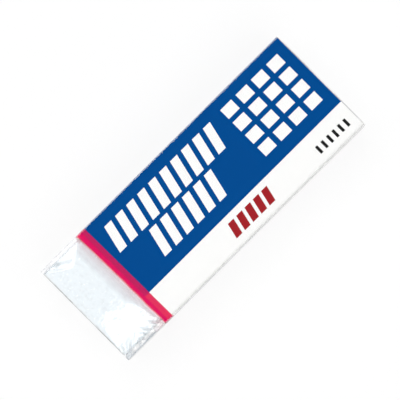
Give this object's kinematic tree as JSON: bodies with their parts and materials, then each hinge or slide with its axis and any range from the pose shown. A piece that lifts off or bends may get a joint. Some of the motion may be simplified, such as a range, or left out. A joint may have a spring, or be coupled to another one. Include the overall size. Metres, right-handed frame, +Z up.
{
  "type": "rubber eraser",
  "caption": "Small vinyl block eraser in a printed card sleeve, overwrapped in clear film with a red tear strip round its girth.",
  "frame": {"origin": "centre of the pack's underside", "axes": "+X along the eraser, towards its sleeved end; +Y across its width, away from the white band; +Z up"},
  "size_m": [0.0446, 0.0168, 0.0117],
  "materials": {
    "eraser": "matte",
    "card": "satin",
    "tear_strip": "gloss",
    "film": "gloss"
  },
  "bodies": {
    "root": {"eraser_block": "eraser", "card_sleeve": "card", "tear_strip": "tear_strip", "film_wrapper": "film"}
  },
  "joints": []
}
